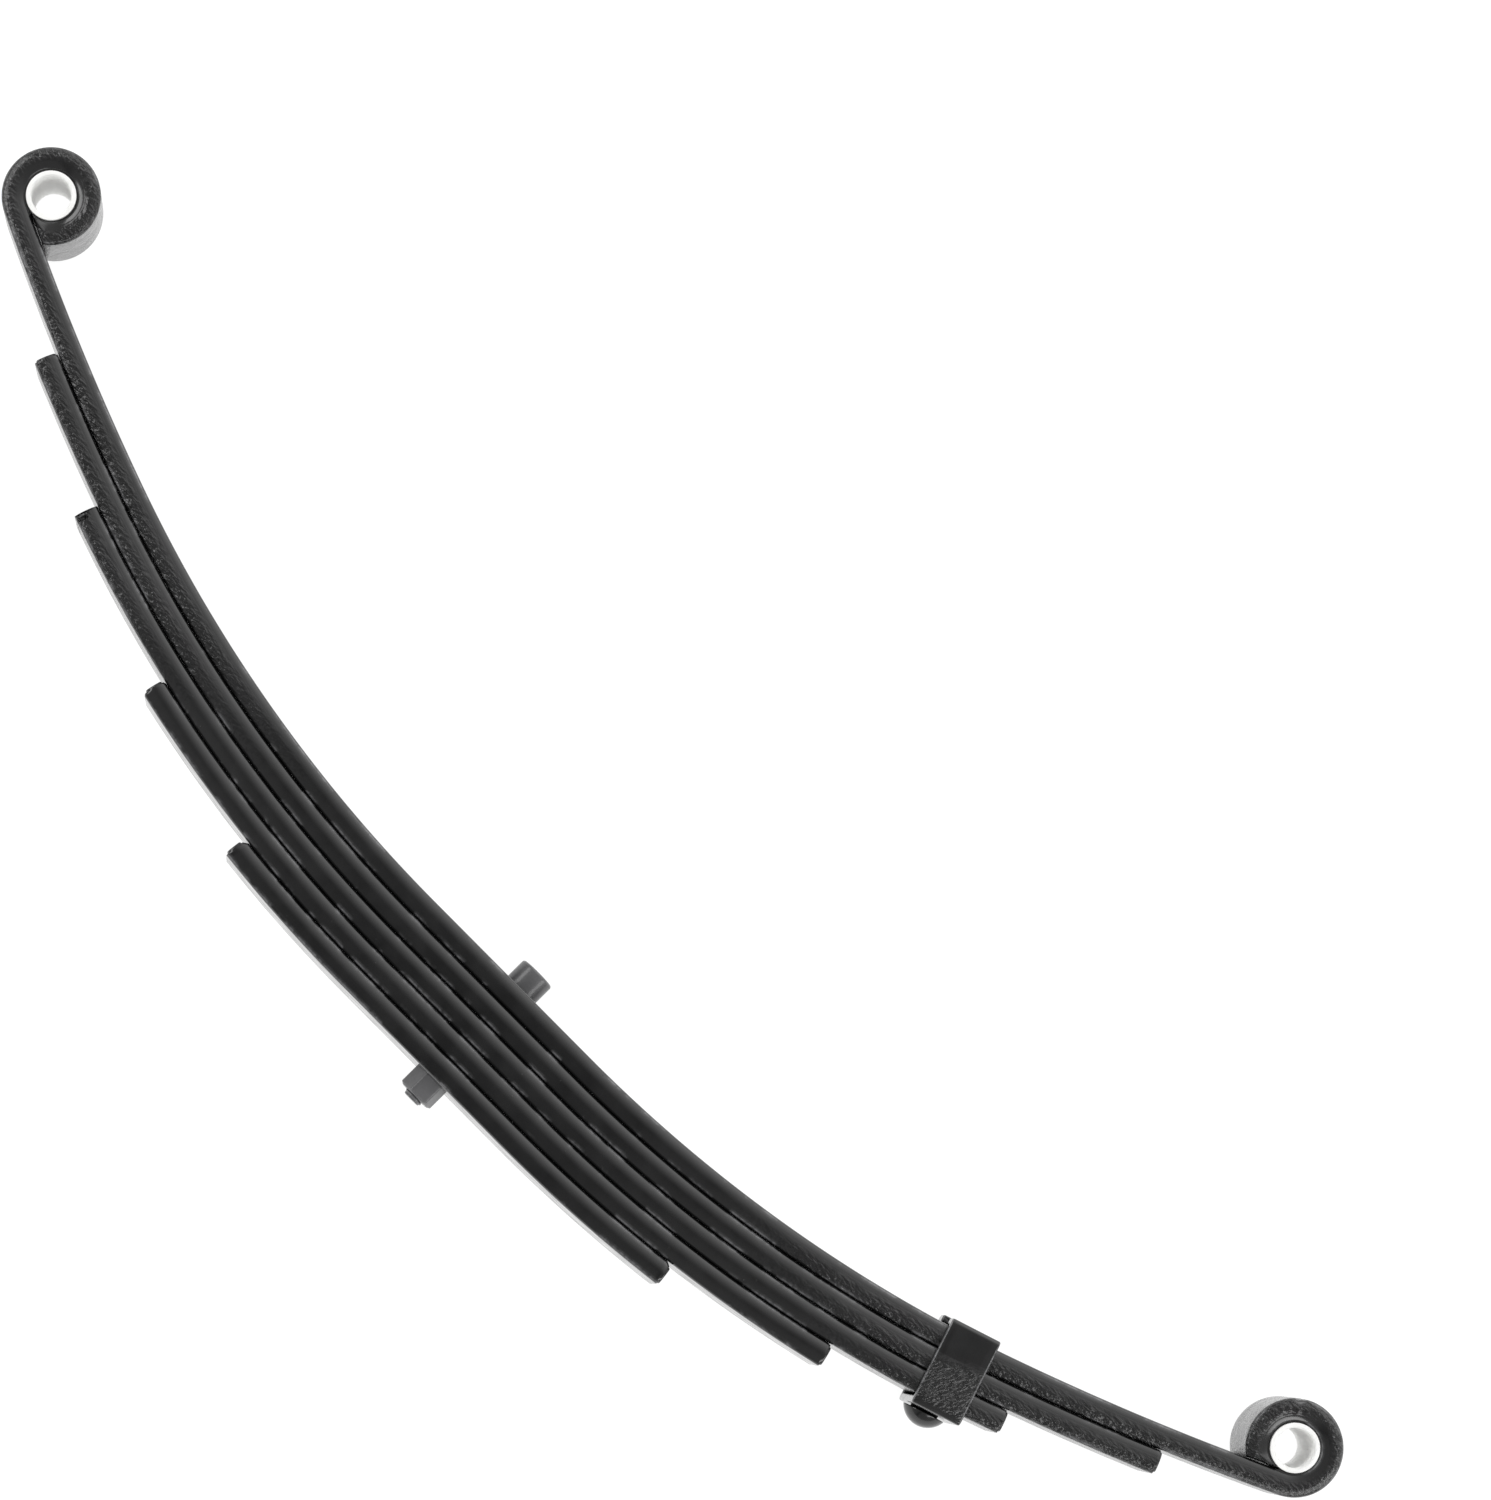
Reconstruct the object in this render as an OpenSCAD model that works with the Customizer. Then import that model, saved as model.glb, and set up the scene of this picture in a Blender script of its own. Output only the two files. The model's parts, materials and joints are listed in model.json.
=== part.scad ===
// Five-leaf, double-eye trailer leaf spring, lying on its side.
// +X runs along the span toward the clip end, +Y toward the concave side
// (up when it is fitted under a trailer), +Z across the width.
// The origin is on the centre bolt's axis, at mid-width, where the bolt
// head sits on the concave face of the main leaf.

/* [Spring] */
// Straight distance between the two eye centres
eye_span = 641.35; // [600:0.05:680]
// Width of every leaf
leaf_width = 44.45; // [38:0.05:64]
// How far the centre bolt sits from mid-span, toward the clip end
bolt_offset = 4.6; // [0:0.1:12]

/* [Bow] */
// Half length of the straight seat in the middle
seat_half = 40; // [30:1:60]
// Radius of the main leaf's concave face next to the seat
inner_radius = 548; // [500:1:650]
// Angle that the inner arc turns through
inner_angle = 19.4; // [15:0.1:21]
// Radius of the main leaf's concave face from there to the eye
outer_radius = 1056; // [900:1:1300]

/* [Leaves] */
// Thickness of the main leaf
main_thickness = 8.8; // [6:0.1:10]
// Thickness of leaves 2 to 5
leaf_thickness = 9; // [7:0.1:11]
// Gap between two leaves, for paint and free camber
leaf_gap = 0.15; // [0.1:0.05:1]
// Bevel along the long edges of each leaf
edge_bevel = 1.2; // [0.5:0.1:2.5]
// Reach of leaf 2, from the centre bolt to each end
reach_2 = 284.7; // [270:0.1:295]
// Reach of leaf 3
reach_3 = 234.5; // [220:0.1:250]
// Reach of leaf 4
reach_4 = 172; // [150:0.1:200]
// Reach of leaf 5
reach_5 = 110; // [80:0.1:140]

/* [Eyes and bushings] */
// Inner radius of the rolled eyes
eye_radius = 9.25; // [8:0.05:12]
// Gap between the end of the eye's wrap and the leaf that it meets
wrap_gap = 0.4; // [0.1:0.1:1.5]
// Outer radius of the nylon bushings
bushing_radius = 9.15; // [7:0.05:11.9]
// Radius of the bushing bore, for a 9/16 inch spring bolt
bore_radius = 7.2; // [5:0.05:8]
// Length of the bushings
bushing_length = 44; // [36:0.1:64]
// Chamfer at both mouths of the bushing bore
mouth_chamfer = 0.6; // [0.2:0.1:1.5]

/* [Centre bolt] */
// Diameter of the bolt's shank
shank_d = 7.9; // [6:0.1:10]
// Clearance around the shank in the leaves and the nut
shank_play = 0.2; // [0.05:0.05:0.5]
// Diameter of the round locating head
head_d = 14.3; // [12:0.1:18]
// Height of the locating head
head_h = 9.4; // [5:0.1:14]
// Width of the nut across its flats
nut_flats = 13; // [11:0.1:17]
// Height of the nut
nut_h = 8.7; // [5:0.1:12]
// Angle that the nut has stopped at
nut_turn = 9.4; // [0:0.1:59]
// Length of bolt that stands out past the nut
bolt_stub = 1.8; // [0:0.1:6]

/* [Rebound clip] */
// Angle along the bow at which the clip sits
clip_angle = 18; // [15:0.1:18.6]
// Width of the clip's strap along the leaves
clip_width = 19.6; // [15:0.1:25]
// Thickness of the strap
clip_thickness = 2.8; // [2:0.1:4]
// Clearance between the clip and the leaves
clip_play = 0.3; // [0.2:0.05:1]
// Extra room between the third leaf and the base of the clip
clip_drop = 0.6; // [0:0.1:1]
// Length of each clinched tab over the main leaf, from the strap's outside
tab_length = 11; // [8:0.5:18]
// Extra height of the arm on the far side (-Z)
far_arm_lift = 1.2; // [0:0.1:3]
// Inner radius of the strap's bends
bend_radius = 1.2; // [1:0.1:2.2]
// Diameter of the rivet's domed head
rivet_head_d = 16.5; // [12:0.1:19]
// Height of the rivet's domed head
rivet_head_h = 5.4; // [3:0.1:8]
// Diameter of the rivet's shank
rivet_d = 7; // [5:0.1:9]
// Clearance around the rivet's shank in the third leaf
rivet_play = 0.6; // [0.3:0.1:1.5]
// How far the rivet sits from the strap's middle, toward the centre bolt
rivet_shift = 1.75; // [0:0.05:3]
// Diameter of the collar that holds the rivet's head off the strap
rivet_neck_d = 11; // [8:0.5:15]
// Height of that collar
rivet_neck_h = 0.7; // [0.3:0.1:1.5]

/* [Hidden] */
$fn = 96;

black_paint = [0.09, 0.09, 0.1];
plated_black = [0.14, 0.14, 0.15];
white_nylon = [0.93, 0.93, 0.91];

// Extra length that lets a cutting tool run clear of what it cuts
clear = 1;
// Angle by which each swept stretch laps over the one before it
lap = 0.02;
half_w = leaf_width / 2;
reaches = [reach_2, reach_3, reach_4, reach_5];

// Depth of leaf n's concave face below the main leaf's concave face
function depth(n) = n == 1 ? 0
    : main_thickness + leaf_gap + (n - 2) * (leaf_thickness + leaf_gap);
// Thickness of leaf n
function thickness(n) = n == 1 ? main_thickness : leaf_thickness;
pack_depth = depth(5) + leaf_thickness;

// Centre of the outer arc, measured from mid-span
outer_x = seat_half + (inner_radius - outer_radius) * sin(inner_angle);
outer_y = inner_radius + (outer_radius - inner_radius) * cos(inner_angle);
// Angle at which the outer arc runs into the eye, and the eye's centre
eye_angle = asin((eye_span / 2 - outer_x) / (outer_radius - eye_radius));
eye_y = outer_y - (outer_radius - eye_radius) * cos(eye_angle);

// Reach from mid-span of leaf n on one side (side is 1 or -1)
function reach(n, side) = reaches[n - 2] + side * bolt_offset;
// Radius of the middle of leaf n on an arc of the main leaf's radius r
function mid_radius(n, r) = r + depth(n) + thickness(n) / 2;
// Angles at which leaf n leaves the inner and the outer arc
function inner_end(n, side) =
    min(inner_angle, asin((reach(n, side) - seat_half) / mid_radius(n, inner_radius)));
function outer_end(n, side) = n == 1 ? eye_angle
    : asin((reach(n, side) - outer_x) / mid_radius(n, outer_radius));
function has_outer(n, side) = n == 1 || reach(n, side) - seat_half
    > mid_radius(n, inner_radius) * sin(inner_angle);

// Section of a leaf: start is its inner face, with all four edges bevelled
module leaf_section(start, t) {
    b = edge_bevel;
    polygon([[start, b - half_w], [start + b, -half_w],
             [start + t - b, -half_w], [start + t, b - half_w],
             [start + t, half_w - b], [start + t - b, half_w],
             [start + b, half_w], [start, half_w - b]]);
}

// A stretch of leaf, swept about (x, y) from one angle to another,
// where 0 points down the bolt and angles grow toward the eye
module swept_leaf(x, y, start, t, from, to)
    translate([x, y, 0])
        rotate_extrude(start = from - 90 - lap, angle = to - from + lap)
            leaf_section(start, t);

// One side of leaf n, from the end of the seat outwards
module leaf_side(n, side) {
    t = thickness(n);
    inner = n == 1 ? inner_angle : inner_end(n, side);
    swept_leaf(seat_half, inner_radius, inner_radius + depth(n), t, 0, inner);
    if (has_outer(n, side))
        swept_leaf(outer_x, outer_y, outer_radius + depth(n), t,
                   inner_angle, outer_end(n, side));
}

// The straight seat in the middle of leaf n
module leaf_seat(n)
    translate([-seat_half, -depth(n), 0])
        rotate([90, 0, 90])
            linear_extrude(2 * seat_half)
                leaf_section(-thickness(n), thickness(n));

// Puts a shape that is drawn about mid-span where the bolt is the origin
module about_mid_span()
    translate([-bolt_offset, 0, 0]) children();

// Both sides of one half of the bow
module each_side()
    for (side = [-1, 1])
        mirror([side < 0 ? 1 : 0, 0, 0]) children();

// Hole for the centre bolt through the whole pack
module bolt_hole()
    translate([0, clear, 0])
        rotate([90, 0, 0])
            cylinder(d = shank_d + 2 * shank_play, h = pack_depth + 2 * clear);

// A whole leaf without eyes
module plain_leaf(n)
    color(black_paint)
        difference() {
            about_mid_span() {
                leaf_seat(n);
                leaf_side(n, 1);
                mirror([1, 0, 0]) leaf_side(n, -1);
            }
            bolt_hole();
        }

// Angles around the eye, counted from where the leaf runs into it
wrap_full = 225;
wrap_all = 335;

// Rolled eye: a full-thickness turn, then a tail cut parallel to the leaf
module eye() {
    turn_start = eye_angle;
    swept_leaf(eye_span / 2, eye_y, eye_radius, main_thickness,
               turn_start, turn_start + wrap_full);
    intersection() {
        swept_leaf(eye_span / 2, eye_y, eye_radius, main_thickness,
                   turn_start + wrap_full, turn_start + wrap_all);
        translate([outer_x, outer_y, -leaf_width])
            cylinder(r = outer_radius - wrap_gap, h = 2 * leaf_width);
    }
}

module main_leaf()
    color(black_paint)
        difference() {
            about_mid_span() {
                leaf_seat(1);
                each_side() {
                    leaf_side(1, 1);
                    eye();
                }
            }
            bolt_hole();
        }

// The clip's own frame: on the main leaf's concave face, +Y out of the bow
module at_clip()
    about_mid_span()
        translate([seat_half, inner_radius, 0])
            rotate([0, 0, clip_angle])
                translate([0, -inner_radius, 0])
                    children();

// A hole or shank on the rivet's axis, from depth top down to depth bottom
module on_rivet_axis(d, top, bottom)
    translate([-rivet_shift, -top, 0])
        rotate([90, 0, 0])
            cylinder(d = d, h = bottom - top);

module leaf_3()
    color(black_paint)
        difference() {
            plain_leaf(3);
            at_clip()
                on_rivet_axis(rivet_d + 2 * rivet_play, depth(3) - clear,
                              depth(3) + leaf_thickness + clear);
        }

// Round head, shank and chamfered end in one turned piece
module center_bolt() {
    head_r = head_d / 2;
    shank_r = shank_d / 2;
    tip = pack_depth + nut_h + bolt_stub;
    rim = 0.8;
    color(plated_black)
        rotate([-90, 0, 0])
            rotate_extrude()
                polygon([[0, -tip], [shank_r - rim, -tip], [shank_r, rim - tip],
                         [shank_r, 0], [head_r, 0], [head_r, head_h - rim],
                         [head_r - rim, head_h], [0, head_h]]);
}

// Hexagon nut with its corners chamfered at the free end
module center_nut() {
    corner_r = nut_flats / 2 / cos(30);
    rim = 0.9;
    color(plated_black)
        translate([0, -pack_depth, 0])
            rotate([90, nut_turn, 0])
                difference() {
                    intersection() {
                        cylinder(r = corner_r, h = nut_h, $fn = 6);
                        rotate_extrude()
                            polygon([[0, 0], [corner_r + clear, 0],
                                     [corner_r + clear, nut_h - rim - clear / 2],
                                     [nut_flats / 2, nut_h], [0, nut_h]]);
                    }
                    translate([0, 0, -clear])
                        cylinder(d = shank_d + 2 * shank_play, h = nut_h + 2 * clear);
                }
}

// Faces of the strap in the clip's own frame
strap_in_z = half_w + clip_play;
strap_out_z = strap_in_z + clip_thickness;
base_in = depth(3) + leaf_thickness + clip_play + clip_drop;
base_out = base_in + clip_thickness;

// A quarter bend of the strap about its own centre, between +X and +Y
module bend()
    intersection() {
        difference() {
            circle(r = bend_radius + clip_thickness);
            circle(r = bend_radius);
        }
        square(bend_radius + clip_thickness);
    }

// One side of the strap, drawn with Z across and Y up; lift raises its tab
module strap_half(lift) {
    t = clip_thickness;
    bend_z = strap_in_z - bend_radius;
    low = bend_radius - base_in;
    high = clip_play + lift - bend_radius;
    translate([0, -base_out]) square([bend_z, t]);
    translate([bend_z, low]) mirror([0, 1]) bend();
    translate([strap_in_z, low]) square([t, high - low]);
    translate([bend_z, high]) bend();
    translate([strap_out_z - tab_length, clip_play + lift])
        square([tab_length - t - bend_radius, t]);
}

// Strap under the third leaf, up both sides and clinched over the main leaf
module rebound_clip()
    color(black_paint)
        at_clip()
            difference() {
                translate([clip_width / 2, 0, 0])
                    rotate([0, -90, 0])
                        linear_extrude(clip_width) {
                            strap_half(0);
                            mirror([1, 0]) strap_half(far_arm_lift);
                        }
                on_rivet_axis(rivet_d, base_in - clear, base_out + clear);
            }

// Domed head under the clip, with its shank up through the third leaf
module clip_rivet() {
    dome_r = (pow(rivet_head_d / 2, 2) + pow(rivet_head_h, 2)) / (2 * rivet_head_h);
    head_top = base_out + rivet_neck_h;
    color(black_paint)
        at_clip() {
            on_rivet_axis(rivet_d, depth(3) + clip_play, head_top);
            on_rivet_axis(rivet_neck_d, base_out, head_top);
            intersection() {
                on_rivet_axis(rivet_head_d, head_top, head_top + rivet_head_h);
                translate([-rivet_shift, dome_r - head_top - rivet_head_h, 0])
                    sphere(dome_r);
            }
        }
}

// Nylon tube pressed into an eye, chamfered at both mouths
module bushing(side)
    color(white_nylon)
        about_mid_span()
            translate([side * eye_span / 2, eye_y, 0])
                rotate_extrude() {
                    h = bushing_length / 2;
                    c = mouth_chamfer;
                    polygon([[bore_radius, c - h], [bore_radius + c, -h],
                             [bushing_radius, -h], [bushing_radius, h],
                             [bore_radius + c, h], [bore_radius, h - c]]);
                }

main_leaf();
plain_leaf(2);  // leaf_2
leaf_3();
plain_leaf(4);  // leaf_4
plain_leaf(5);  // leaf_5
center_bolt();
center_nut();
rebound_clip();
clip_rivet();
bushing(-1);  // plain_end_bushing
bushing(1);  // clip_end_bushing
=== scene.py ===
"""Looks for a five-leaf, double-eye trailer leaf spring lying on its side.

The row frame is the CAD's: +X along the span toward the clip end, +Y toward
the concave side, +Z across the width. The origin is on the centre bolt's axis.
Sizes are in millimetres up to make_mesh(), which turns them into metres.
"""

import json
import math

import bpy
import numpy as np
from mathutils import Matrix, Vector

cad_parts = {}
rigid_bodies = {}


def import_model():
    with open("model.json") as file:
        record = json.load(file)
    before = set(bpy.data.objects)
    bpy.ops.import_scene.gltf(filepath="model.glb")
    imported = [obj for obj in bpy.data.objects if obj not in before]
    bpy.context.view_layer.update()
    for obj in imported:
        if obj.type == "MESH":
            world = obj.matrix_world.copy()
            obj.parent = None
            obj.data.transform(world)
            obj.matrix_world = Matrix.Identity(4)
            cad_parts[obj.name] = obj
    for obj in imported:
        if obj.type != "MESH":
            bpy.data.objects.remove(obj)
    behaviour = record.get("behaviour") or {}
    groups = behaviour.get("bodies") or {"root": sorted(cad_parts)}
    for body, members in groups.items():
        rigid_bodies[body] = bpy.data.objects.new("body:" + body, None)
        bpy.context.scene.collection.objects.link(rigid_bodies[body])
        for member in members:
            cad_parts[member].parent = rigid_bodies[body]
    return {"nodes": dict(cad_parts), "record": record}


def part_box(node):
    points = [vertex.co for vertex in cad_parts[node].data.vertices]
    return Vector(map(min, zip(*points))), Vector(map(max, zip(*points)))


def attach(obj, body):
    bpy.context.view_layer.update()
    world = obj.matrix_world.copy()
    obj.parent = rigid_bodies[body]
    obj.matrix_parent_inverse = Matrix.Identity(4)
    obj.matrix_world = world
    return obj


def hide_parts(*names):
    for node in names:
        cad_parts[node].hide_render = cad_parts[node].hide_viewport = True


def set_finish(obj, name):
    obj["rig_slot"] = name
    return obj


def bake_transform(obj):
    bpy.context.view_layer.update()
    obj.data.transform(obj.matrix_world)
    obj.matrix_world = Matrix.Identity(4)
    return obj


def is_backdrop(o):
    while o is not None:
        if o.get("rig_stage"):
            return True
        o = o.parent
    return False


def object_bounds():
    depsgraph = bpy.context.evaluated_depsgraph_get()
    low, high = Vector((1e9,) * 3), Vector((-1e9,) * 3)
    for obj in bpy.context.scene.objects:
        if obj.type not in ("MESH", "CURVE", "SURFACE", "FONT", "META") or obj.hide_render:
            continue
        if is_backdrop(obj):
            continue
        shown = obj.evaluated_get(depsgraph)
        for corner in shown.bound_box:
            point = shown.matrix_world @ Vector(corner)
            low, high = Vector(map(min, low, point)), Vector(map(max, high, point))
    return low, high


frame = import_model()
cad_low, cad_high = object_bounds()

MM = 0.001


def box_mm(node):
    """Lowest and highest corner of a CAD node, in millimetres."""
    low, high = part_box(node)
    return np.array(low) / MM, np.array(high) / MM


def middle(node):
    low, high = box_mm(node)
    return (low + high) / 2


# ---------------------------------------------------------------- the bow

SEAT_HALF = 40.0  # half length of the straight seat
INNER_RADIUS, INNER_ANGLE = 548.0, 19.4  # arc of the concave face by the seat
OUTER_RADIUS = 1056.0  # arc from there to the eye
EYE_RADIUS = 9.25  # inside of the rolled eyes
WRAP_TURN = 335.0  # how far the leaf is rolled round the eye, in degrees
WRAP_GAP = 0.4  # between the roll's end and the leaf it lies along
INNER_STEP, OUTER_STEP, EYE_STEP = 0.4, 0.22, 4.0  # degrees between stations
LEAVES = ["main_leaf", "leaf_2", "leaf_3", "leaf_4", "leaf_5"]
MAIN_THICKNESS, LEAF_THICKNESS = 8.8, 9.0

clip_eye, plain_eye = middle("clip_end_bushing"), middle("plain_end_bushing")
mid_x = (clip_eye[0] + plain_eye[0]) / 2
eye_half = (clip_eye[0] - plain_eye[0]) / 2
leaf_width = box_mm("leaf_2")[1][2] - box_mm("leaf_2")[0][2]

outer_x = SEAT_HALF + (INNER_RADIUS - OUTER_RADIUS) * math.sin(math.radians(INNER_ANGLE))
outer_y = INNER_RADIUS + (OUTER_RADIUS - INNER_RADIUS) * math.cos(math.radians(INNER_ANGLE))
eye_angle = math.degrees(math.asin((eye_half - outer_x) / (OUTER_RADIUS - EYE_RADIUS)))
eye_y = outer_y - (OUTER_RADIUS - EYE_RADIUS) * math.cos(math.radians(eye_angle))

EDGE_RADIUS = 7.5  # the leaves' long edges are barrelled
CORNER_RADIUS = 2.0  # between a long edge and a wide face
GLINT_TILT, GLINT_SPREAD = 0.85, 0.22  # where the painted glint lies on a corner and how far it spreads, in radians


def thickness(leaf):
    return MAIN_THICKNESS if leaf == "main_leaf" else LEAF_THICKNESS


def leaf_section(t, inset=0.0):
    """Closed ring of a leaf's section: (depth, z, painted glint) for each point.

    The points are kept as (depth, z, tilt of the face toward the edge, painted glint).
    """
    zc = leaf_width / 2 - EDGE_RADIUS  # centre of the barrelled edge
    reach = EDGE_RADIUS - CORNER_RADIUS
    first = math.acos((t / 2 - CORNER_RADIUS) / reach)
    corner_z = zc + reach * math.sin(first)
    half = [(0.0, z, 0.0, 0.0) for z in np.linspace(0, corner_z, 6)[:-1]]
    # each corner carries a painted highlight: a thin, lighter glint line partway round it
    for b in np.linspace(0, first, 9):
        half.append((CORNER_RADIUS * (1 - math.cos(b)), corner_z + CORNER_RADIUS * math.sin(b),
                     b, math.exp(-((b - GLINT_TILT) / GLINT_SPREAD) ** 2)))
    for b in np.linspace(first, math.pi / 2, 5)[1:]:
        half.append((t / 2 - EDGE_RADIUS * math.cos(b), zc + EDGE_RADIUS * math.sin(b), b, 0.0))
    # the second quarter mirrors the first in depth, and the far side mirrors both
    quarter = half + [(t - s, z, math.pi - b, w) for s, z, b, w in half[-2::-1]]
    ring = quarter + [(s, -z, -b, w) for s, z, b, w in quarter[-2:0:-1]]
    return np.array([(s + inset * math.cos(b), z - inset * math.sin(b), w)
                     for s, z, b, w in ring])


def arc_stations(cx, cy, r, start, end, step):
    """Points of the concave face on an arc: (x, y, angle), the angle 0 pointing down."""
    n = max(2, int(math.ceil(abs(end - start) / step)))
    return [(cx + r * math.sin(math.radians(a)), cy - r * math.cos(math.radians(a)), a)
            for a in np.linspace(start, end, n + 1)]


def leaf_path(leaf, side):
    """Stations of one half of a leaf, from the centre bolt outwards, about mid-span."""
    t = thickness(leaf)
    low, high = box_mm(leaf)
    depth = 0.0 if leaf == "main_leaf" else -low[1] - t
    path = [(x, -depth, 0.0) for x in np.linspace(-side * mid_x, SEAT_HALF, 12)]
    tip = abs((high if side > 0 else low)[0] - mid_x)
    inner_tip = math.degrees(math.asin(min(
        1.0, (tip - SEAT_HALF) / (INNER_RADIUS + depth + t))))
    inner_end = INNER_ANGLE if leaf == "main_leaf" else min(INNER_ANGLE, inner_tip)
    path += arc_stations(SEAT_HALF, INNER_RADIUS, INNER_RADIUS + depth,
                         0, inner_end, INNER_STEP)[1:]
    if leaf == "main_leaf":
        outer_end = eye_angle
    else:
        outer_end = math.degrees(math.asin((tip - outer_x) / (OUTER_RADIUS + depth + t)))
    if inner_end == INNER_ANGLE and outer_end > INNER_ANGLE:
        path += arc_stations(outer_x, outer_y, OUTER_RADIUS + depth,
                             INNER_ANGLE, outer_end, OUTER_STEP)[1:]
    if leaf == "main_leaf":
        path += arc_stations(eye_half, eye_y, EYE_RADIUS, eye_angle,
                             eye_angle + WRAP_TURN, EYE_STEP)[1:]
    return np.array(path)


def tail_room(angle):
    """How thick the rolled eye may be at that angle before it meets the leaf below it.

    That is where the ray from the eye's centre leaves the circle of the outer arc.
    """
    ray = np.array([math.sin(math.radians(angle)), -math.cos(math.radians(angle))])
    eye = np.array([eye_half - outer_x, eye_y - outer_y])
    b, c = eye @ ray, eye @ eye - (OUTER_RADIUS - WRAP_GAP) ** 2
    return -b + math.sqrt(b * b - c) - EYE_RADIUS


def make_mesh(name, points, faces, flat=(), sharp=(), **values):
    """A mesh object from points in millimetres, closed and facing outwards.

    flat holds the indices of the faces that aren't smooth, and sharp the edges as
    pairs of points. rest keeps each point's place at rest, which the materials read,
    and values are further numbers for each point.
    """
    co = np.asarray(points, float) * MM
    mesh = bpy.data.meshes.new(name)
    mesh.from_pydata(co.tolist(), [], [list(f) for f in faces])
    if signed_volume(co, faces) < 0:
        mesh.flip_normals()
    smooth = np.ones(len(faces), bool)
    smooth[list(flat)] = False
    mesh.polygons.foreach_set("use_smooth", smooth)
    if sharp:
        wanted = {tuple(sorted(e)) for e in sharp}
        keys = np.empty(len(mesh.edges) * 2, int)
        mesh.edges.foreach_get("vertices", keys)
        flags = [tuple(sorted(k)) in wanted for k in keys.reshape(-1, 2).tolist()]
        mesh.attributes.new("sharp_edge", "BOOLEAN", "EDGE").data.foreach_set("value", flags)
    mesh.attributes.new("rest", "FLOAT_VECTOR", "POINT").data.foreach_set(
        "vector", co.astype(np.float32).ravel())
    for key, v in values.items():
        mesh.attributes.new(key, "FLOAT", "POINT").data.foreach_set(
            "value", np.asarray(v, np.float32))
    mesh.validate()
    mesh.update()
    obj = bpy.data.objects.new(name, mesh)
    bpy.context.scene.collection.objects.link(obj)
    return obj


def signed_volume(co, faces):
    """Six times the volume, negative if the faces look inwards."""
    total = 0.0
    for f in faces:
        a = co[f[0]]
        for i in range(1, len(f) - 1):
            total += a @ np.cross(co[f[i]], co[f[i + 1]])
    return total


def grid_faces(rings, around, closed=False):
    """Quads between rings of equal size, and round from the last ring to the first if closed."""
    faces = []
    for r in range(rings if closed else rings - 1):
        a, b = r * around, (r + 1) % rings * around
        for i in range(around):
            j = (i + 1) % around
            faces.append((a + i, a + j, b + j, b + i))
    return faces


# ---------------------------------------------------------------- the leaves

# Corners snipped off the leaves' ends, (length, height), concave side and convex side
SNIPS = {("leaf_5", -1): ((2.5, 2.0), (0.8, 0.8)), ("leaf_5", 1): ((2.5, 1.5), (0.6, 0.5)),
         ("leaf_4", -1): ((1.4, 1.0), (1.4, 1.3)), ("leaf_4", 1): ((1.2, 1.0), (0.6, 0.5))}
PLAIN_SNIP = ((0.9, 0.6), (0.7, 0.7))
SNIP_STATIONS = (3.0, 2.5, 1.6, 0.8)  # before the end, where the snips need more stations
END_ROUND = 0.7  # rounding of the end's edges
END_TURNS = (0, 22.5, 45, 67.5, 90)
DENT_ANGLE, DENT_WIDTH, DENT_DEPTH = 217.9, 6.0, 1.2  # nick in the clip end's eye
PEEL_START = {"main_leaf": 105.0, "leaf_2": 120.0, "leaf_3": 150.0}  # from the centre bolt
NO_PEEL = 400.0


def end_depths(leaf, side, left, t):
    """Depths between which the section lies, left millimetres before the leaf's end."""
    (la, ha), (lb, hb) = SNIPS.get((leaf, side), PLAIN_SNIP)
    return ha * max(0.0, 1 - left / la), t - hb * max(0.0, 1 - left / lb)


def leaf_half(leaf, side):
    """One half of a leaf as a closed mesh, swept from the centre bolt to its end."""
    t = thickness(leaf)
    path = leaf_path(leaf, side)
    is_main = leaf == "main_leaf"
    if not is_main:
        last, before = path[-1], path[-2]
        step = math.dist(last[:2], before[:2])
        fine = [last + (before - last) * left / step for left in SNIP_STATIONS]
        path = np.vstack([path[:-1], fine, last])
    lengths = np.concatenate([[0], np.cumsum(np.hypot(*np.diff(path[:, :2], axis=0).T))])
    total = lengths[-1]
    points, wear, run = [], [], []

    def add_ring(station, inset, forward, low, high, at):
        x, y, a = station
        n = np.array([math.sin(math.radians(a)), -math.cos(math.radians(a))])
        tangent = np.array([-n[1], n[0]])
        for s, z, w in leaf_section(t, inset):
            depth = low + s / t * (high - low)
            if is_main and side > 0 and z > 0:
                depth -= dent(a, s, z, t)
            p = np.array([x, y]) + n * depth + tangent * forward
            points.append((side * p[0] + mid_x, p[1], z))
            wear.append(w)
            run.append((at, s / t))

    for station, length in zip(path, lengths):
        angle = station[2]
        low, high = 0.0, t
        if is_main and angle > 180:
            high = min(t, tail_room(angle))
        if not is_main:
            low, high = end_depths(leaf, side, total - length, t)
        last_ring = (station, low, high)
        if total - length > END_ROUND * 0.9:
            add_ring(station, 0, 0, low, high, length)
    station, low, high = last_ring
    soft = min(END_ROUND, 0.3 * (high - low))
    for turn in END_TURNS:
        b = math.radians(turn)
        add_ring(station, soft * (1 - math.cos(b)), soft * (math.sin(b) - 1), low, high, total)
    around = len(leaf_section(t))
    rings = len(points) // around
    faces = grid_faces(rings, around)
    first, last = list(range(around)), list(range((rings - 1) * around, rings * around))
    caps = [len(faces), len(faces) + 1]
    faces += [tuple(first[::-1]), tuple(last)]
    sharp = [(i, (i + 1) % around) for i in range(around)]  # where the two halves meet
    along, share = np.array(run).T
    return make_mesh(f"{leaf}.{'clip' if side > 0 else 'plain'}_half", points, faces,
                     caps, sharp, wear=wear, peel=peel_of(leaf, along, share))


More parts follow.
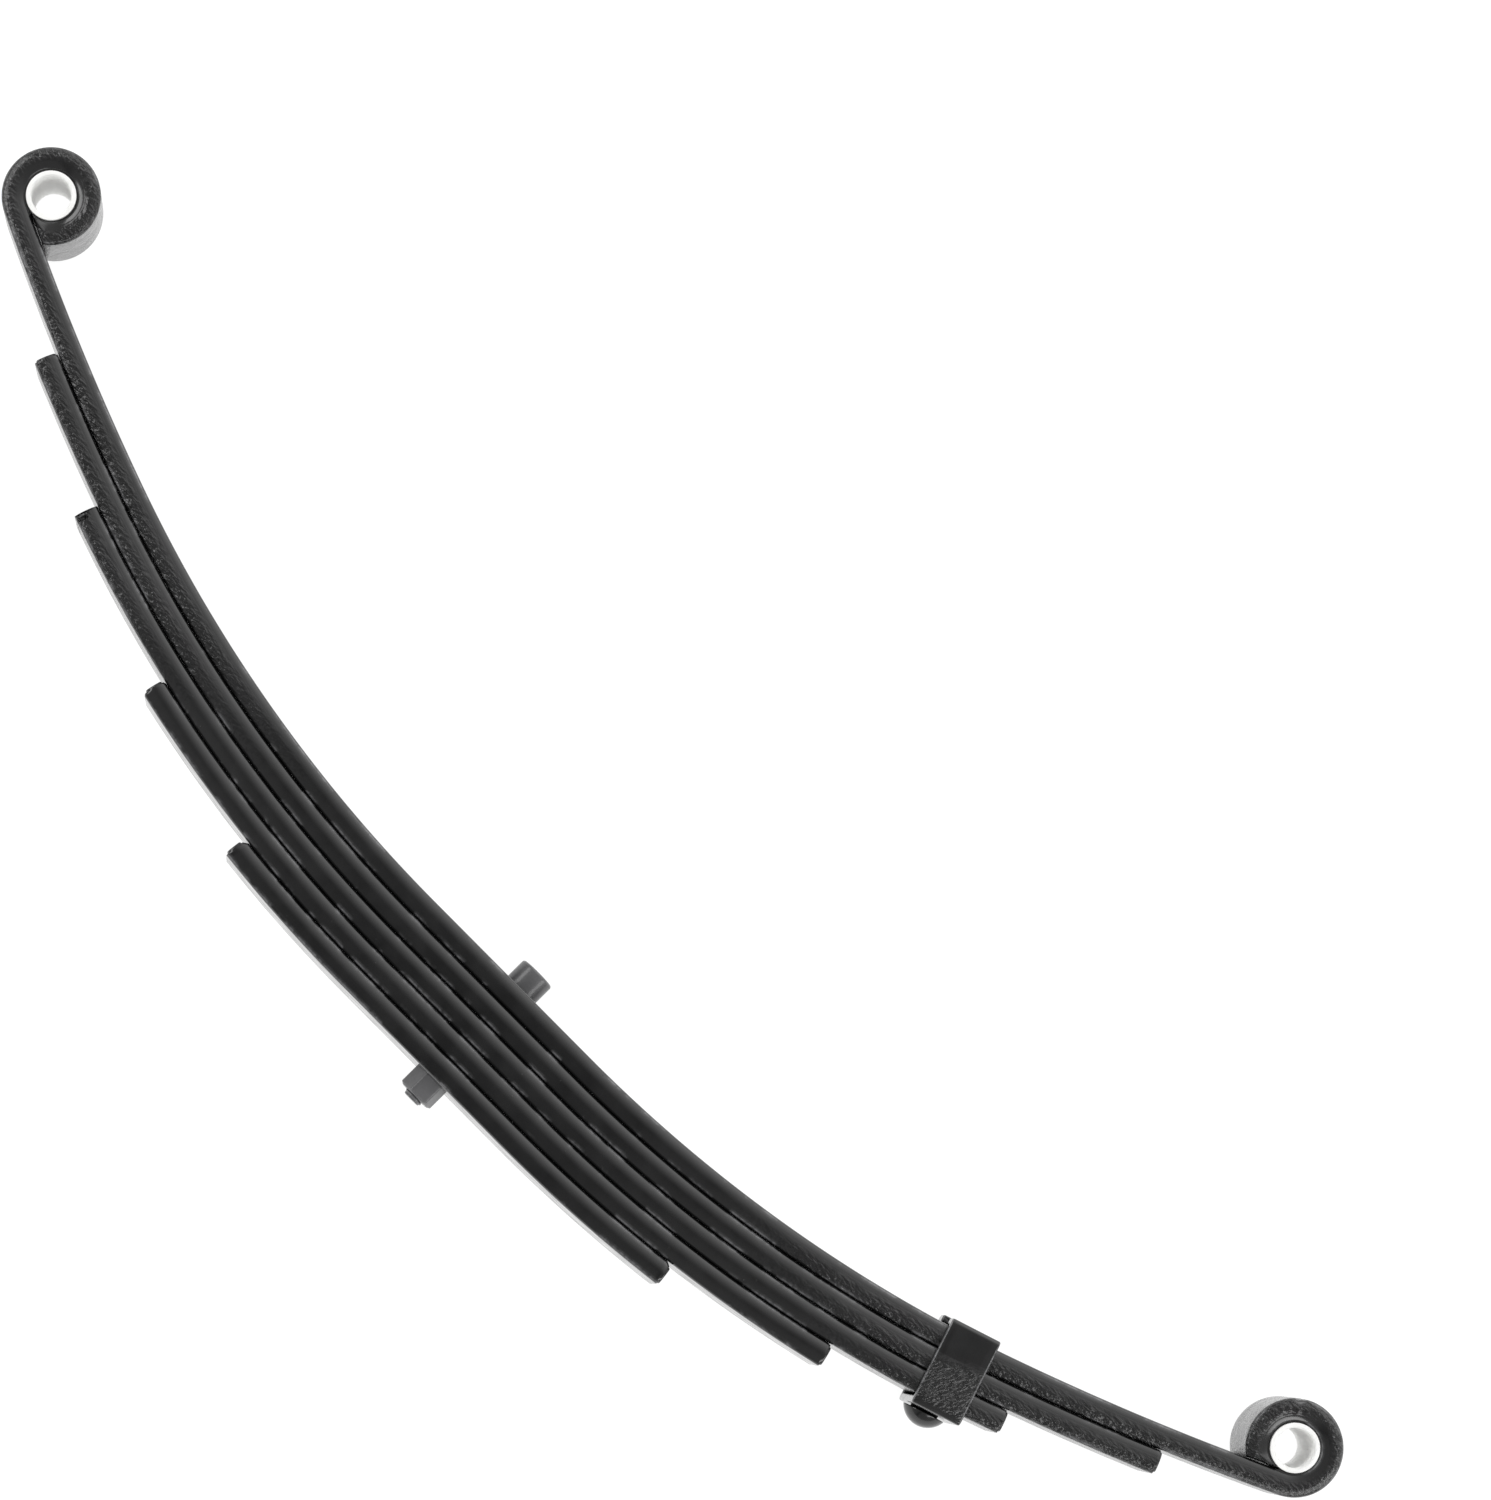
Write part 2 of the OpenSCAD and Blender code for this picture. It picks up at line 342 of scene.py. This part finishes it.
def dent(angle, s, z, t):
    """Depth of the nick in the rolled eye's outer edge, which only the near edge has."""
    off = abs(angle - DENT_ANGLE) / DENT_WIDTH
    if off >= 1:
        return 0.0
    near = min(1.0, max(0.0, (z - leaf_width / 2 + 4) / 3))
    return DENT_DEPTH * (1 - off ** 4) * near * max(0.0, s / t - 0.3) / 0.7


def peel_of(leaf, along, share):
    """How coarse the paint is: it ran and wrinkled on the convex side, toward the ends."""
    ramp = np.clip((along - PEEL_START.get(leaf, NO_PEEL)) / 60, 0, 1)
    return ramp * np.clip((share - 0.35) / 0.3, 0, 1)


EYE_BODY = {1: "clip_eye", -1: "plain_eye"}

for leaf in LEAVES:
    for side in (1, -1):
        half = leaf_half(leaf, side)
        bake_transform(half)
        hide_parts(leaf)
        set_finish(half, "leaf_paint")


# ---------------------------------------------------------------- turned pieces


def turned(name, profile, place, around=96, radius=None):
    """A closed mesh turned about an axis, from (radius, height) pairs.

    place puts (x, y) across the axis and z along it into the row frame. radius, if
    given, changes each point's radius from (radius, height, angle). A profile that
    starts and ends at the same point makes a ring.
    """
    ring = profile[0] == profile[-1]
    rows = profile[:-1] if ring else profile
    points = []
    for r, h in rows:
        for i in range(around):
            a = 2 * math.pi * i / around
            q = radius(r, h, a) if radius else r
            points.append(place @ Vector((q * math.cos(a), q * math.sin(a), h)))
    faces = grid_faces(len(rows), around, ring)
    flat = []
    if not ring:
        flat = [len(faces), len(faces) + 1]
        end = (len(rows) - 1) * around
        faces += [tuple(range(around))[::-1], tuple(range(end, end + around))]
    return make_mesh(name, [tuple(p) for p in points], faces, flat)


def rounded(corner, before, after, r, steps=5):
    """Points of a corner of a profile, rounded to radius r between its two neighbours."""
    c, b, a = (np.array(p, float) for p in (corner, before, after))
    u, v = (b - c) / np.linalg.norm(b - c), (a - c) / np.linalg.norm(a - c)
    half = math.acos(np.clip(u @ v, -1, 1)) / 2
    centre = c + (u + v) / np.linalg.norm(u + v) * r / math.sin(half)
    start, end = c + u * r / math.tan(half), c + v * r / math.tan(half)
    out = []
    for k in np.linspace(0, 1, steps):
        d = (start - centre) * math.sin((1 - k) * (math.pi / 2 - half) * 2 + 1e-9) \
            + (end - centre) * math.sin(k * (math.pi / 2 - half) * 2 + 1e-9)
        out.append(tuple(centre + d / np.linalg.norm(d) * r))
    return out


def profile_of(corners, closed=False):
    """A profile from (radius, height, rounding) corners."""
    out, n = [], len(corners)
    for i, (r, h, soft) in enumerate(corners):
        if soft and (closed or 0 < i < n - 1):
            out += rounded((r, h), corners[i - 1][:2], corners[(i + 1) % n][:2], soft)
        else:
            out.append((r, h))
    return out + out[:1] if closed else out


UP_Y = Matrix(((1, 0, 0, 0), (0, 0, 1, 0), (0, -1, 0, 0), (0, 0, 0, 1)))
THREAD_PITCH, THREAD_DEPTH, THREAD_STEP = 1.25, 0.4, 0.12
TIP_CHAMFER, TIP_CHAMFER_H = 0.6, 0.9
SEAT_GAP = 0.02  # keeps a head or nut just off the face it sits on

bolt_low, bolt_high = box_mm("center_bolt")
nut_low, nut_high = box_mm("center_nut")
head_r = (bolt_high[0] - bolt_low[0]) / 2
shank_r = 3.95
pack_low = nut_high[1]
tip_y, head_y = bolt_low[1], bolt_high[1]
thread_top = pack_low - 1


def thread(r, h, a):
    """The shank's radius with a rolled thread cut into its lower end."""
    if h > thread_top or r < shank_r - 1.4:
        return r
    wave = abs(2 * ((h / THREAD_PITCH + a / (2 * math.pi)) % 1) - 1)
    taper = min(1.0, max(0.0, (h - tip_y) / 0.5))
    return r - THREAD_DEPTH * (1 - min(1.0, wave * 1.25)) * taper


bolt_profile = [(shank_r - 1.0, tip_y), (shank_r - 0.7, tip_y + 0.08)]
bolt_profile += [(shank_r - TIP_CHAMFER * max(0.0, 1 - (h - tip_y) / TIP_CHAMFER_H), h)
                 for h in np.arange(tip_y + 0.25, thread_top, THREAD_STEP)]
bolt_profile += [(shank_r, thread_top + 0.3), (shank_r, -0.4)]
bolt_profile += profile_of([(shank_r, SEAT_GAP, 0), (head_r, SEAT_GAP, 0.3),
                            (head_r, head_y, 1.0), (2.0, head_y, 0)])
bolt = turned("center_bolt.detailed", bolt_profile, UP_Y, 72, thread)
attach(bolt, "leaf_pack")
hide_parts("center_bolt")
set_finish(bolt, "bolt_paint")

NUT_TURN = math.radians(9.4)
NUT_FLATS, NUT_HOLE_R, NUT_CHAMFER = 13.0, 4.0, 0.9
CORNER_EASE, EASE_BLEND = 0.12, 0.1  # how far the corners are cut back, and how softly
nut_h = nut_high[1] - nut_low[1]
corner_r = NUT_FLATS / 2 / math.cos(math.pi / 6)


def hexagon(r, h, a):
    """A hexagon's radius with its six corners eased, for the nut's outer wall."""
    if r < NUT_FLATS / 2 - 0.6:
        return r
    off = (a - NUT_TURN) % (math.pi / 3) - math.pi / 6
    flat = NUT_FLATS / 2 / math.cos(off)
    eased = corner_r - CORNER_EASE
    wall = -EASE_BLEND * math.log(math.exp(-flat / EASE_BLEND) + math.exp(-eased / EASE_BLEND))
    return min(wall, r)


nut_top, nut_bottom = pack_low - SEAT_GAP, pack_low - nut_h
nut_profile = profile_of([(NUT_HOLE_R, nut_top, 0), (corner_r, nut_top, 0.3),
                          (corner_r, nut_bottom + NUT_CHAMFER, 0.5),
                          (NUT_FLATS / 2 - 0.4, nut_bottom, 0.3),
                          (NUT_HOLE_R + 0.4, nut_bottom, 0),
                          (NUT_HOLE_R, nut_bottom + 0.5, 0)], True)
nut = turned("center_nut.detailed", nut_profile, UP_Y, 144, hexagon)
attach(nut, "leaf_pack")
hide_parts("center_nut")
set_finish(nut, "bolt_paint")

# ---------------------------------------------------------------- bushings

BORE, BUSH = 7.2, 9.15  # inner and outer radius
MOUTH, MOUTH_H = 0.55, 0.6  # chamfer at both mouths
for side, node in ((1, "clip_end_bushing"), (-1, "plain_end_bushing")):
    low, high = box_mm(node)
    centre = (low + high) / 2
    h = (high[2] - low[2]) / 2
    walls = [(BUSH, -h, 0.25), (BUSH, h, 0.25), (BORE + MOUTH, h, 0.2), (BORE, h - MOUTH_H, 0.3)]
    grooves = [(BORE, z) for z in np.linspace(h - 1.2, 1.2 - h, 40)]
    if side < 0:  # faint turning marks inside the bushing of the plain end
        grooves = [(BORE + 0.06 * max(0.0, math.sin(z * 1.3)) ** 4, z) for _, z in grooves]
    profile = profile_of(walls + [(BORE, h - 1.0, 0)])[:-1] + grooves
    profile += profile_of([grooves[-1] + (0,), (BORE, MOUTH_H - h, 0.3), (BORE + MOUTH, -h, 0.2),
                           (BUSH, -h, 0)])[1:-1]
    profile += profile[:1]
    piece = turned(node + ".detailed", profile,
                   Matrix.Translation((centre[0], centre[1], 0)), 96)
    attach(piece, EYE_BODY[side])
    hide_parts(node)
    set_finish(piece, "nylon")

# ---------------------------------------------------------------- rebound clip

CLIP_ANGLE = 18.0
CLIP_WIDTH, CLIP_THICKNESS = 19.6, 2.8
BEND_OUTSIDE, BEND_INSIDE = 1.7, 0.6  # radii of the strap's bends
BEND_SPLIT = 9  # stations in a bend
TAB_LENGTH = 11.0  # of both tabs over the main leaf, from the strap's outside
FAR_LIFT = 1.2  # the far tab stands higher
TAB_THIN = 0.3  # room under the near tab, so that it clears the bending leaf
CLIP_PLAY = 0.3
STRAP_EDGE = 0.7  # rounding of the strap's edges
WRINKLE_TOP = -9.5  # height in the clip's own frame below which its paint is wrinkled

clip_low, clip_high = box_mm("rebound_clip")
strap_out = clip_high[2]
tab_top = CLIP_PLAY + CLIP_THICKNESS + FAR_LIFT
# the strap is a turned block, so its box gives its height and its middle
lean = math.radians(CLIP_ANGLE)
clip_height = (clip_high[1] - clip_low[1] - CLIP_WIDTH * math.sin(lean)) / math.cos(lean)
clip_middle = (clip_low + clip_high) / 2
base_out = clip_height - tab_top
clip_place = Matrix.Translation((clip_middle[0], clip_middle[1], 0)) \
    @ Matrix.Rotation(lean, 4, "Z") @ Matrix.Translation((0, (base_out - tab_top) / 2, 0))


def strap_line():
    """Stations of the strap from the near tab round: (outer z, y, inner z, y)."""
    t, mid = CLIP_THICKNESS, strap_out - CLIP_THICKNESS / 2
    near_y, base_y = CLIP_PLAY + t / 2, t / 2 - base_out
    far_y = near_y + FAR_LIFT
    tip = strap_out - TAB_LENGTH
    line = [(z, near_y + t / 2, z, near_y - t / 2 + TAB_THIN) for z in (tip, tip + 1)]
    for sign_z, y, start in ((1, near_y, 90), (1, base_y, 0), (-1, base_y, -90), (-1, far_y, -180)):
        corner = np.array([sign_z * mid, y])
        diagonal = np.array([sign_z, -1 if y == base_y else 1])
        room = np.array([0, TAB_THIN if y == near_y else 0])
        for a in np.linspace(start, start - 90, BEND_SPLIT):
            b = math.radians(a)
            e = np.array([math.cos(b), math.sin(b)])
            line.append((*(corner + diagonal * (t / 2 - BEND_OUTSIDE) + e * BEND_OUTSIDE),
                         *(corner - diagonal * (t / 2 + BEND_INSIDE) + e * BEND_INSIDE + room)))
    return line + [(-z, far_y + t / 2, -z, far_y - t / 2) for z in (tip + 1, tip)]


def subdivide(line, longest):
    """More stations on the straight stretches."""
    out = [np.array(line[0])]
    for p in np.array(line[1:]):
        q = out[-1]
        n = int(math.dist(p[:2], q[:2]) // longest) + 1
        out += [q + (p - q) * k / n for k in range(1, n + 1)]
    return out


def strap_section(inset=0.0):
    """Ring of the strap's section: (across the leaves' length, outwards)."""
    w, t, r = CLIP_WIDTH / 2 - inset, CLIP_THICKNESS / 2 - inset, STRAP_EDGE - inset * 0.5
    ring = []
    for cx, cy, start in ((w - r, t - r, 0), (r - w, t - r, 90),
                          (r - w, r - t, 180), (w - r, r - t, 270)):
        for a in np.linspace(start, start + 90, 5):
            b = math.radians(a)
            ring.append((cx + r * math.cos(b), cy + r * math.sin(b)))
        if start in (0, 180):  # points across the wide faces
            across = np.linspace(cx, -cx, 8)[1:-1]
            ring += [(x, ring[-1][1]) for x in across]
    return ring


def make_clip():
    """The strap, with its wrinkled lower part and the painted highlight on its edges as values."""
    rows = [(*station, 0.0, 0.0) for station in subdivide(strap_line(), 2.0)]
    # both tabs end in a soft edge: (inset of the section, shift toward the tip)
    rows = [(*rows[0][:4], 0.5, 0.0), (*rows[0][:4], 0.15, -0.35), *rows[1:-1],
            (*rows[-1][:4], 0.15, -0.35), (*rows[-1][:4], 0.5, 0.0)]
    points, wear, peel = [], [], []
    for n, (oz, oy, iz, iy, inset, shift) in enumerate(rows):
        toward_tip = -1 if n < 2 else 1
        for x, o in strap_section(inset):
            f = o / CLIP_THICKNESS + 0.5
            z, y = iz + (oz - iz) * f + shift * toward_tip, iy + (oy - iy) * f
            points.append(tuple(clip_place @ Vector((x, y, z))))
            # the strap's rounded long edges get the painted highlight, a lighter glint line
            wear.append(1.0 if abs(x) > CLIP_WIDTH / 2 - STRAP_EDGE else 0.0)
            peel.append(np.clip((WRINKLE_TOP - y + 0.12 * x) / 4, 0, 1)
                        * np.clip((y + base_out - 2) / 2, 0, 1))
    around, count = len(strap_section()), len(rows)
    faces = grid_faces(count, around)
    caps = [len(faces), len(faces) + 1]
    faces += [tuple(range(around))[::-1], tuple(range((count - 1) * around, count * around))]
    return make_mesh("rebound_clip.detailed", points, faces, caps, wear=wear, peel=peel)


clip = make_clip()
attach(clip, "clip")
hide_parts("rebound_clip")
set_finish(clip, "clip_paint")

RIVET_HEAD_R, RIVET_HEAD_H, RIVET_R = 8.25, 5.4, 3.5
RIVET_SHIFT = 1.75  # from the strap's middle toward the centre bolt
RIVET_REACH = 4.0  # how far the shank goes up past the strap
NECK_R, NECK_H = 5.5, 0.7  # collar that holds the head off the strap
dome_r = (RIVET_HEAD_R ** 2 + RIVET_HEAD_H ** 2) / (2 * RIVET_HEAD_H)
dome_turn = math.asin(RIVET_HEAD_R / dome_r)
head_top = -base_out - NECK_H
shank_top = -base_out + CLIP_THICKNESS + RIVET_REACH
rivet_profile = [(2.0, shank_top), (RIVET_R, shank_top), (RIVET_R, -base_out),
                 (NECK_R, -base_out), (NECK_R, head_top),
                 (RIVET_HEAD_R - 0.3, head_top - SEAT_GAP)]
rivet_profile += [(dome_r * math.sin(a), head_top - RIVET_HEAD_H + dome_r * (1 - math.cos(a)))
                  for a in np.linspace(dome_turn * 0.985, 0.05, 22)]
rivet = turned("clip_rivet.detailed", rivet_profile,
               clip_place @ Matrix.Translation((-RIVET_SHIFT, 0, 0)) @ UP_Y, 72)
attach(rivet, "clip")
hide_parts("clip_rivet")
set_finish(rivet, "clip_paint")

# ---------------------------------------------------------------- materials


class Nodes:
    """A material's node tree, with short calls to add and join nodes."""

    def __init__(self, name, rough, coat):
        self.material = bpy.data.materials.new(name)
        self.material.use_nodes = True
        self.tree = self.material.node_tree
        self.shader = self.tree.nodes["Principled BSDF"]
        self.shader.inputs["Roughness"].default_value = rough
        self.shader.inputs["Coat Weight"].default_value = coat
        self.rest = self.add("ShaderNodeAttribute", attribute_name="rest").outputs["Vector"]

    def add(self, kind, inputs=(), **settings):
        node = self.tree.nodes.new(kind)
        for key, value in settings.items():
            setattr(node, key, value)
        for key, value in dict(inputs).items():
            self.put(node.inputs[key], value)
        return node

    def put(self, socket, value):
        if isinstance(value, bpy.types.NodeSocket):
            self.tree.links.new(value, socket)
        else:
            socket.default_value = value

    def value(self, name):
        return self.add("ShaderNodeAttribute", attribute_name=name).outputs["Fac"]

    def noise(self, scale, detail=2.0, rough=0.5, where=None):
        return self.add("ShaderNodeTexNoise", {
            "Vector": where or self.rest, "Scale": scale,
            "Detail": detail, "Roughness": rough}).outputs["Fac"]

    def drawn_out(self, turn, stretch):
        """Places at rest, squeezed so that noise draws out into streaks turned by that angle."""
        turned = self.add("ShaderNodeMapping", {"Vector": self.rest, "Rotation": (0, 0, -turn)},
                          vector_type="POINT")
        return self.add("ShaderNodeMapping", {"Vector": turned.outputs["Vector"],
                                              "Scale": (1 / stretch, 1, 1)},
                        vector_type="POINT").outputs["Vector"]

    def math(self, operation, a, b=0.0):
        node = self.add("ShaderNodeMath", operation=operation)
        self.put(node.inputs[0], a)
        self.put(node.inputs[1], b)
        return node.outputs[0]

    def remap(self, value, low, high, to_low=0.0, to_high=1.0):
        return self.add("ShaderNodeMapRange", {
            "Value": value, "From Min": low, "From Max": high,
            "To Min": to_low, "To Max": to_high}).outputs["Result"]

    def mix(self, fac, a, b):
        node = self.add("ShaderNodeMix", {"Factor": fac}, data_type="RGBA")
        colours = [i for i in node.inputs if i.type == "RGBA"]
        self.put(colours[0], a)
        self.put(colours[1], b)
        return [o for o in node.outputs if o.type == "RGBA"][0]

    def specks(self, scale, size):
        """Small round nibs scattered over the surface, 1 at their middles."""
        cells = self.add("ShaderNodeTexVoronoi", {"Vector": self.rest, "Scale": scale})
        return self.remap(cells.outputs["Distance"], 0.0, size, 1.0, 0.0)


def grey(v):
    """A neutral grey, a little cool as the paint in the photo is."""
    return (v, v, v * 1.03, 1.0)


def paint(name, tone, rough, coarse, streak=0, grain=0.000012, glint_cut=0.5):
    """Black enamel: cloudy tone, orange peel, dust nibs, and a painted highlight on the edges.

    coarse is the height of the wrinkles in metres and streak the angle they run at,
    grain the height of the fine grain, and bare how little of the edges gets the painted highlight.
    """
    m = Nodes(name, rough, 0.3)
    m.shader.inputs["Coat Roughness"].default_value = 0.08
    cloud = m.noise(38, 3)
    base = m.mix(m.remap(cloud, 0.35, 0.65), grey(tone * 0.7), grey(tone * 1.25))
    # painted highlight: the edges' glint lines are painted in a lighter grey, broken up by noise
    glint_mask = m.math("MULTIPLY", m.value("wear"), m.remap(m.noise(70, 4), glint_cut, glint_cut + 0.08))
    glint_mask = m.math("MULTIPLY", glint_mask, m.remap(m.noise(500, 2), 0.3, 0.6, 0.2, 0.9))
    base = m.mix(glint_mask, base, grey(0.16))
    m.put(m.shader.inputs["Base Color"], base)
    m.put(m.shader.inputs["Roughness"],
          m.remap(m.noise(120, 3), 0.3, 0.7, rough - 0.06, rough + 0.08))
    wrinkles = m.noise(820, 2, 0.5, m.drawn_out(math.radians(streak), 2.2))
    peel = m.math("MULTIPLY", wrinkles, m.math("MULTIPLY", m.value("peel"), coarse))
    peel = m.math("ADD", peel, m.math("MULTIPLY", m.noise(780, 2), grain))
    waves = m.math("MULTIPLY", m.noise(95, 2), 0.00012)
    nibs = m.math("MULTIPLY", m.specks(130, 0.05), 0.00012)
    height = m.math("ADD", m.math("ADD", peel, waves), nibs)
    bump = m.add("ShaderNodeBump", {"Height": height, "Distance": 1.0, "Strength": 1.0})
    m.put(m.shader.inputs["Normal"], bump.outputs["Normal"])
    return m.material


def nylon(name):
    """White nylon, slightly uneven in tone and gloss."""
    m = Nodes(name, 0.4, 0.0)
    base = m.mix(m.remap(m.noise(150, 3), 0.3, 0.7), (0.86, 0.86, 0.84, 1), (0.93, 0.93, 0.92, 1))
    m.put(m.shader.inputs["Base Color"], base)
    m.put(m.shader.inputs["Roughness"], m.remap(m.noise(300, 2), 0.3, 0.7, 0.34, 0.46))
    height = m.math("MULTIPLY", m.noise(900, 2), 0.00002)
    bump = m.add("ShaderNodeBump", {"Height": height, "Distance": 1.0, "Strength": 1.0})
    m.put(m.shader.inputs["Normal"], bump.outputs["Normal"])
    m.shader.inputs["Subsurface Weight"].default_value = 0.15
    m.shader.inputs["Subsurface Radius"].default_value = (0.002, 0.002, 0.002)
    return m.material


leaf_paint = paint("leaf_enamel", 0.006, 0.20, 0.0011)
bolt_paint = paint("bolt_enamel", 0.11, 0.36, 0.0, grain=0.00005)
clip_paint = paint("clip_enamel", 0.006, 0.20, 0.0013, 60, glint_cut=0.36)
white_nylon = nylon("white_nylon")
SLOT_MATERIAL = {"leaf_paint": leaf_paint, "bolt_paint": bolt_paint,
                 "clip_paint": clip_paint, "nylon": white_nylon}
for obj in bpy.context.scene.objects:
    if obj.type == "MESH" and "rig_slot" in obj:
        obj.data.materials.append(SLOT_MATERIAL[obj["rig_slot"]])
node_slot = {p["node"]: p["material_slot"] for p in frame["record"]["subparts"]}
for node, obj in frame["nodes"].items():
    obj.data.materials.clear()
    obj.data.materials.append(SLOT_MATERIAL[node_slot[node]])

# ---------------------------------------------------------------- floor, light, camera

FLOOR_HALF = 30.0  # metres
floor_mesh = bpy.data.meshes.new("floor")
floor_mesh.from_pydata([(x * FLOOR_HALF, y * FLOOR_HALF, cad_low.z)
                        for x, y in ((-1, -1), (1, -1), (1, 1), (-1, 1))], [], [(0, 1, 2, 3)])
floor = bpy.data.objects.new("floor", floor_mesh)
bpy.context.scene.collection.objects.link(floor)
floor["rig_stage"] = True
pale = bpy.data.materials.new("pale_floor")
pale.use_nodes = True
pale_shader = pale.node_tree.nodes["Principled BSDF"]
pale_shader.inputs["Base Color"].default_value = (0.15, 0.15, 0.15, 1)
pale_shader.inputs["Roughness"].default_value = 0.9
pale_shader.inputs["Emission Color"].default_value = (1, 1, 1, 1)
pale_shader.inputs["Emission Strength"].default_value = 0.95
floor_mesh.materials.append(pale)

centre = (cad_low + cad_high) / 2


def softbox(name, azimuth, tilt, distance, wide, tall, watts):
    """An area light aimed at the spring: azimuth 0 is +X and 90 is +Y, tilt is from straight up."""
    light = bpy.data.lights.new(name, "AREA")
    light.shape = "RECTANGLE"
    light.size, light.size_y = wide, tall
    light.energy = watts
    a, t = math.radians(azimuth), math.radians(tilt)
    toward = Vector((math.cos(a) * math.sin(t), math.sin(a) * math.sin(t), math.cos(t)))
    obj = bpy.data.objects.new(name, light)
    obj.location = centre + toward * distance
    obj.rotation_mode = "QUATERNION"
    obj.rotation_quaternion = (-toward).to_track_quat("-Z", "Y")
    bpy.context.scene.collection.objects.link(obj)


softbox("side_clip", -14, 55, 1.55, 1.5, 0.55, 11)
softbox("side_plain", 194, 55, 1.55, 1.5, 0.55, 11)

# A soft wall of light on the concave side, which fades upwards and toward both ends
world = bpy.data.worlds.new("studio")
world.use_nodes = True
bpy.context.scene.world = world
tree = world.node_tree
background = tree.nodes["Background"]
where = tree.nodes.new("ShaderNodeTexCoord")
split = tree.nodes.new("ShaderNodeSeparateXYZ")
tree.links.new(where.outputs["Generated"], split.inputs["Vector"])
aside = tree.nodes.new("ShaderNodeMath")
aside.operation = "ABSOLUTE"
tree.links.new(split.outputs["X"], aside.inputs[0])
toward_wall = tree.nodes.new("ShaderNodeMath")
toward_wall.operation = "MULTIPLY_ADD"
tree.links.new(aside.outputs[0], toward_wall.inputs[0])
toward_wall.inputs[1].default_value = -0.5
tree.links.new(split.outputs["Y"], toward_wall.inputs[2])
ramp = tree.nodes.new("ShaderNodeValToRGB")
tree.links.new(toward_wall.outputs[0], ramp.inputs["Fac"])
beside = tree.nodes.new("ShaderNodeMapRange")
tree.links.new(aside.outputs[0], beside.inputs["Value"])
for key, value in (("From Min", 0.02), ("From Max", 0.13), ("To Min", 0.0), ("To Max", 0.3)):
    beside.inputs[key].default_value = value
total = tree.nodes.new("ShaderNodeMath")
total.operation = "MULTIPLY_ADD"
tree.links.new(ramp.outputs["Color"], total.inputs[0])
total.inputs[1].default_value = 2.4
tree.links.new(beside.outputs["Result"], total.inputs[2])
tree.links.new(total.outputs[0], background.inputs["Strength"])
background.inputs["Color"].default_value = (1, 1, 1, 1)
stops = [(0.0, 0.06), (0.25, 0.18), (0.55, 0.42), (0.8, 0.76), (0.95, 0.82)]
while len(ramp.color_ramp.elements) < len(stops):
    ramp.color_ramp.elements.new(0.5)
for element, (at, level) in zip(ramp.color_ramp.elements, stops):
    element.position, element.color = at, (level, level, level, 1)

# The photograph looks almost straight down on the spring's near edge
CAMERA_AT = Vector((5.0, -143.0, 2517.0)) * MM
CAMERA_AIM = Vector((-4.41, 118.93, 22.2)) * MM
IMAGE_UP = Vector((-0.7077, 0.70651, 0.0))
camera_data = bpy.data.cameras.new("camera")
camera_data.lens = 165.5
camera_data.clip_start, camera_data.clip_end = 0.1, 100.0
camera = bpy.data.objects.new("camera", camera_data)
bpy.context.scene.collection.objects.link(camera)
bpy.context.scene.camera = camera
back = (CAMERA_AT - CAMERA_AIM).normalized()
right = IMAGE_UP.cross(back).normalized()
up = back.cross(right)
camera.matrix_world = Matrix.Translation(CAMERA_AT) @ Matrix((right, up, back)).transposed().to_4x4()

bpy.context.scene.view_settings.view_transform = "Standard"

low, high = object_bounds()
